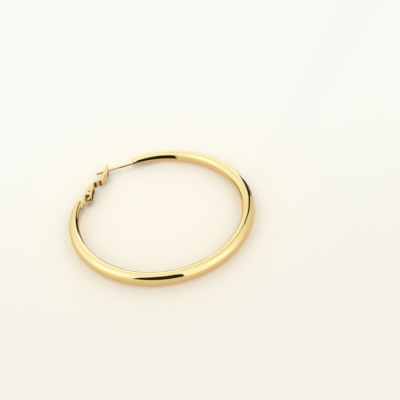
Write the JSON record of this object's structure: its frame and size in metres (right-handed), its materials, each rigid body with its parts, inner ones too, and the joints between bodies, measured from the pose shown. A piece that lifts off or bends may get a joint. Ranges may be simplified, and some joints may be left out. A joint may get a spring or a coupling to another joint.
{
  "type": "hoop earring",
  "caption": "Polished gold hoop earring: a tapered round tube ring, closed by a straight ear post and a hinged clip lever whose slot takes the post.",
  "frame": {"origin": "centre of the bounding box at its bottom, on the surface that the hoop lies on", "axes": "+Z along the ring's axis, upwards; +Y from the ring's centre to its mouth, where the post and the clip lever are; +X to the post end of the tube"},
  "size_m": [0.0498, 0.0514, 0.0035],
  "materials": {
    "polished_gold": "mirror-polished yellow gold plating",
    "clasp_gold": "polished gold plating on pressed sheet and wire, softer at its edges"
  },
  "bodies": {
    "ring": {"hoop": "polished_gold", "hinge_pin": "clasp_gold"},
    "lever": {"clip_lever": "clasp_gold"}
  },
  "joints": [
    {"name": "lever_hinge", "type": "hinge", "parent": "ring", "child": "lever", "pos_m": [-0.00836, 0.0192, 0.00175], "axis": [0, 0, 1], "range_deg": [0, 85]}
  ]
}
